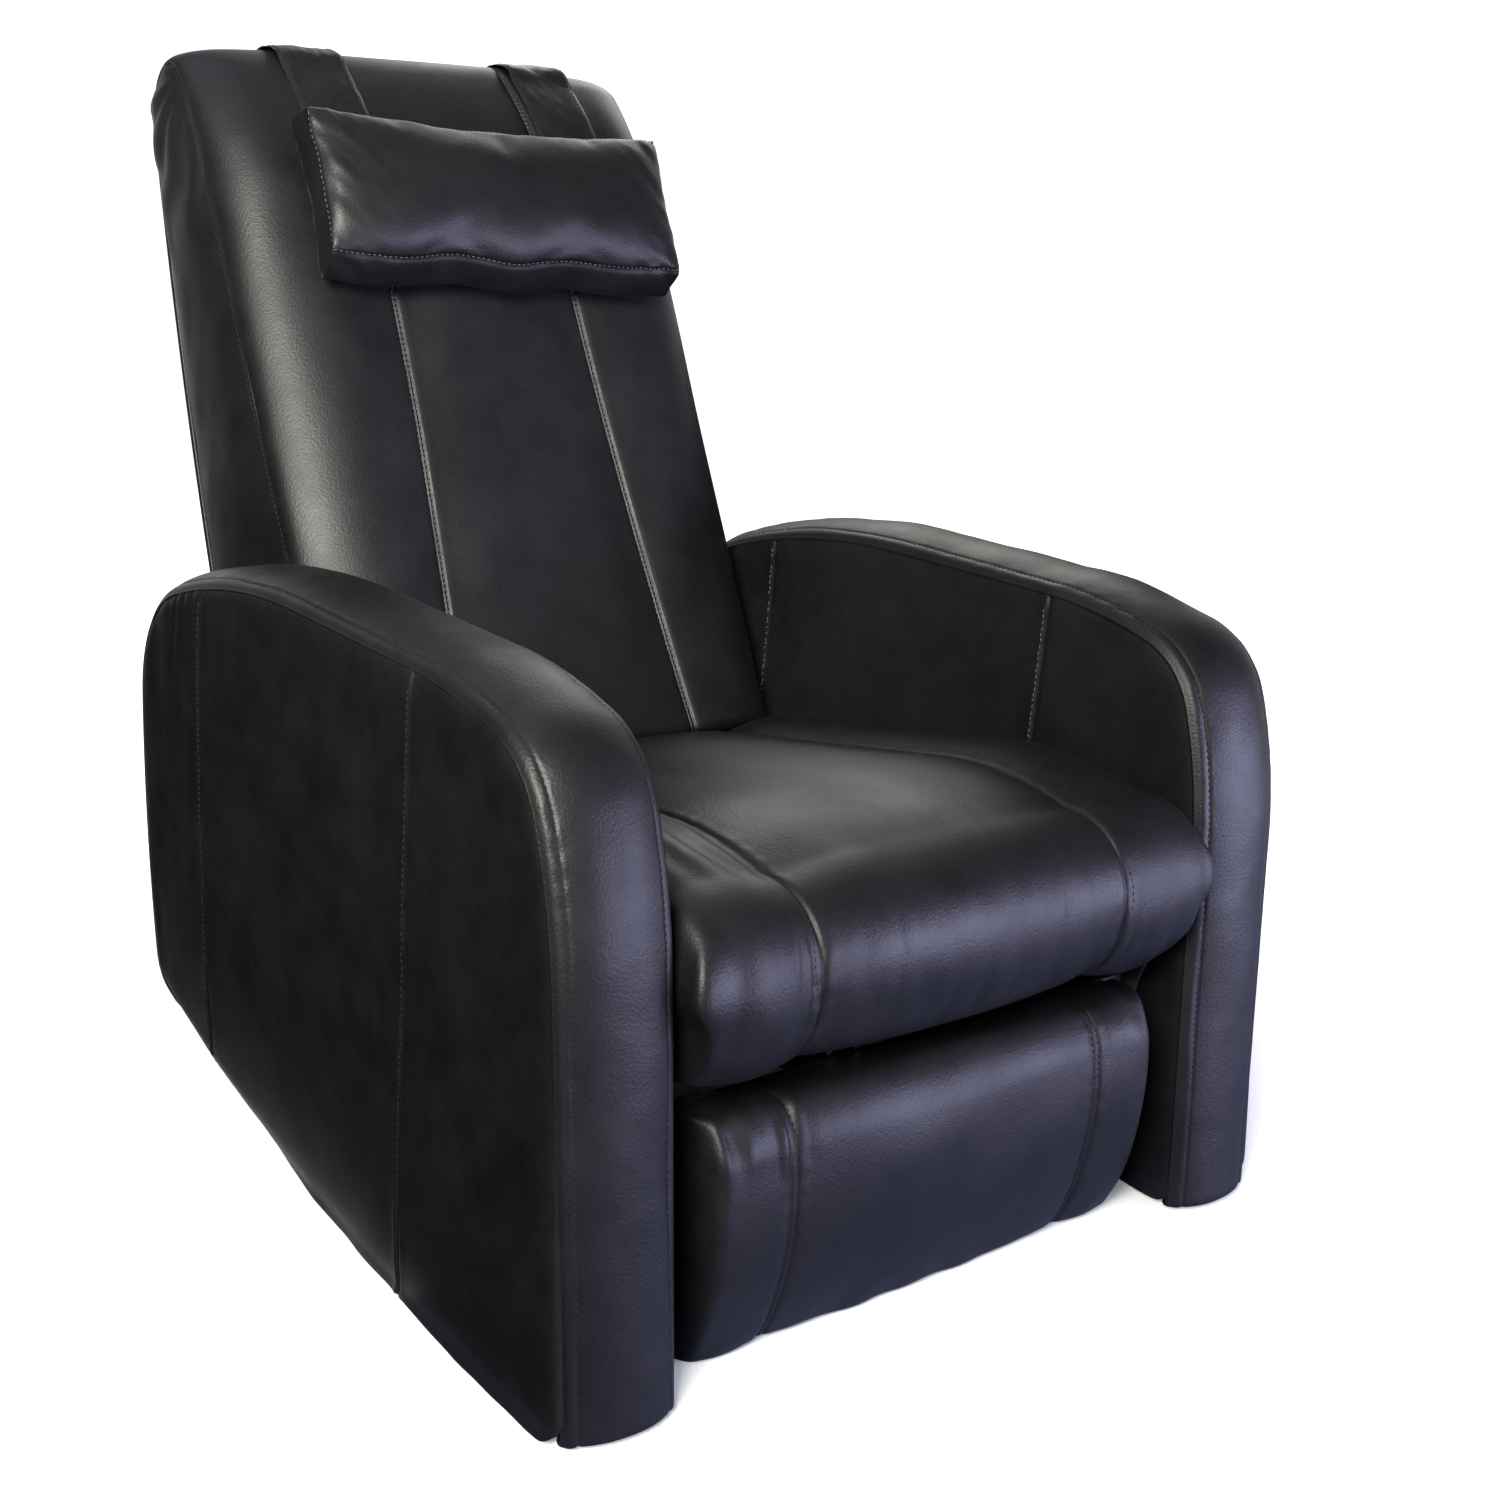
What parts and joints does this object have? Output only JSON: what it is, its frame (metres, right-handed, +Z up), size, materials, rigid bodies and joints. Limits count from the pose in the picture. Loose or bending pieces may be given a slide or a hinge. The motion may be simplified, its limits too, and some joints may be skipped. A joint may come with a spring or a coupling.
{
  "type": "massage chair",
  "caption": "Leather-covered reclining massage chair with padded slab arms, a footrest, a tall backrest with a strapped pillow and a powered massage carriage inside.",
  "frame": {"origin": "on the floor under the middle of the whole chair", "axes": "+X to the right as seen from the front, which is the sitter's left; the names left and right are as seen from the front, +Y from the footrest towards the back, +Z up"},
  "size_m": [0.842, 1.119, 1.0517],
  "materials": {
    "leather": "satin",
    "timber": "matte",
    "frame_steel": "satin",
    "zinc_steel": "satin",
    "black_plastic": "matte",
    "switch_plastic": "gloss",
    "bush_plastic": "matte",
    "brass": "satin",
    "roller_rubber": "matte"
  },
  "bodies": {
    "base": {"left_arm_frame": "timber", "right_arm_frame": "timber", "left_arm_outer_panel": "leather", "right_arm_outer_panel": "leather", "left_arm_inner_panel": "leather", "right_arm_inner_panel": "leather", "left_arm_band": "leather", "right_arm_band": "leather", "floor_glides": "black_plastic", "base_side_rails": "frame_steel", "base_crossmembers": "frame_steel", "arm_bolts": "zinc_steel", "seat_uprights": "frame_steel", "seat_side_rails": "timber", "seat_front_rail": "timber", "seat_rear_rail": "timber", "seat_springs": "zinc_steel", "seat_cushion": "leather", "control_box": "black_plastic", "mains_inlet": "black_plastic", "footrest_hinge_plates": "frame_steel", "leg_actuator_bracket": "frame_steel", "back_actuator_bracket": "frame_steel", "back_hinge_brackets": "frame_steel"},
    "power_switch": {"power_switch": "switch_plastic"},
    "footrest": {"footrest_hangers": "frame_steel", "footrest_board": "timber", "footrest_pad": "leather", "footrest_lever": "frame_steel"},
    "leg_actuator": {"leg_actuator_body": "black_plastic"},
    "leg_rod": {"leg_actuator_rod": "zinc_steel"},
    "backrest": {"back_hinge_plates": "frame_steel", "back_posts": "frame_steel", "back_bottom_rail": "frame_steel", "back_top_rail": "frame_steel", "back_torque_tube": "frame_steel", "back_front_pad": "leather", "back_left_side": "leather", "back_right_side": "leather", "back_rear_panel": "leather", "guide_rods": "zinc_steel", "screw_bearings": "black_plastic", "travel_motor": "black_plastic", "strap_anchors": "leather"},
    "back_actuator": {"back_actuator_body": "black_plastic"},
    "back_rod": {"back_actuator_rod": "zinc_steel"},
    "lead_screw": {"lead_screw": "zinc_steel"},
    "carriage": {"carriage_plate": "frame_steel", "carriage_bushes": "bush_plastic", "drive_nut": "brass", "kneading_gearbox": "black_plastic"},
    "kneading_shaft": {"kneading_shaft": "zinc_steel"},
    "left_roller_arm": {"left_roller_arm": "black_plastic"},
    "right_roller_arm": {"right_roller_arm": "black_plastic"},
    "upper_left_roller": {"upper_left_roller": "roller_rubber"},
    "lower_left_roller": {"lower_left_roller": "roller_rubber"},
    "upper_right_roller": {"upper_right_roller": "roller_rubber"},
    "lower_right_roller": {"lower_right_roller": "roller_rubber"},
    "pillow": {"pillow": "leather", "pillow_straps": "leather"}
  },
  "joints": [
    {"name": "switch_rock", "type": "hinge", "parent": "base", "child": "power_switch", "pos_m": [-0.14, 0.25096, 0.117], "axis": [1, 0, 0], "range_deg": [0, 12]},
    {"name": "footrest_swing", "type": "hinge", "parent": "base", "child": "footrest", "pos_m": [0, -0.48303, 0.3], "axis": [-1, 0, 0], "range_deg": [0, 80]},
    {"name": "leg_actuator_tilt", "type": "hinge", "parent": "base", "child": "leg_actuator", "pos_m": [-0.07, -0.02303, 0.15], "axis": [1, 0, 0], "range_deg": [-2, 2]},
    {"name": "leg_rod_slide", "type": "slide", "parent": "leg_actuator", "child": "leg_rod", "axis": [0, -0.9889, 0.1483], "range_m": [0, 0.136]},
    {"name": "back_recline", "type": "hinge", "parent": "base", "child": "backrest", "pos_m": [0, 0.15696, 0.3], "axis": [-1, 0, 0], "range_deg": [0, 35]},
    {"name": "back_actuator_tilt", "type": "hinge", "parent": "base", "child": "back_actuator", "pos_m": [0.07, -0.28303, 0.12], "axis": [1, 0, 0], "range_deg": [-2, 2]},
    {"name": "back_rod_slide", "type": "slide", "parent": "back_actuator", "child": "back_rod", "axis": [0, 0.9874, 0.158], "range_m": [-0.07, 0]},
    {"name": "carriage_travel", "type": "slide", "parent": "backrest", "child": "carriage", "axis": [0, 0.454, 0.891], "range_m": [0, 0.4]},
    {"name": "screw_turn", "type": "hinge", "parent": "backrest", "child": "lead_screw", "pos_m": [0, 0.20294, 0.3199], "axis": [0, 0.454, 0.891], "continuous": true},
    {"name": "kneading_turn", "type": "hinge", "parent": "carriage", "child": "kneading_shaft", "pos_m": [0, 0.22454, 0.4548], "axis": [1, 0, 0], "continuous": true},
    {"name": "left_arm_rock", "type": "hinge", "parent": "carriage", "child": "left_roller_arm", "pos_m": [-0.066, 0.22454, 0.4548], "axis": [1, 0, 0], "range_deg": [-8, 8]},
    {"name": "right_arm_rock", "type": "hinge", "parent": "carriage", "child": "right_roller_arm", "pos_m": [0.066, 0.22454, 0.4548], "axis": [1, 0, 0], "range_deg": [-8, 8]},
    {"name": "pillow_lift", "type": "hinge", "parent": "backrest", "child": "pillow", "pos_m": [0, 0.46917, 1.04638], "axis": [-1, 0, 0], "range_deg": [0, 100]},
    {"name": "upper_left_roller_turn", "type": "hinge", "parent": "left_roller_arm", "child": "upper_left_roller", "pos_m": [-0.088, 0.23584, 0.52985], "axis": [1, 0, 0], "continuous": true},
    {"name": "lower_left_roller_turn", "type": "hinge", "parent": "left_roller_arm", "child": "lower_left_roller", "pos_m": [-0.088, 0.17047, 0.40154], "axis": [1, 0, 0], "continuous": true},
    {"name": "upper_right_roller_turn", "type": "hinge", "parent": "right_roller_arm", "child": "upper_right_roller", "pos_m": [0.088, 0.23584, 0.52985], "axis": [1, 0, 0], "continuous": true},
    {"name": "lower_right_roller_turn", "type": "hinge", "parent": "right_roller_arm", "child": "lower_right_roller", "pos_m": [0.088, 0.17047, 0.40154], "axis": [1, 0, 0], "continuous": true}
  ],
  "couplings": [
    {"joint": "leg_rod_slide", "follows": "footrest_swing", "m_per_rad": 0.0963},
    {"joint": "leg_actuator_tilt", "follows": "footrest_swing", "ratio": 0.0116},
    {"joint": "back_rod_slide", "follows": "back_recline", "m_per_rad": -0.11364},
    {"joint": "back_actuator_tilt", "follows": "back_recline", "ratio": -0.020694},
    {"joint": "screw_turn", "follows": "carriage_travel", "rad_per_m": 314.16}
  ]
}
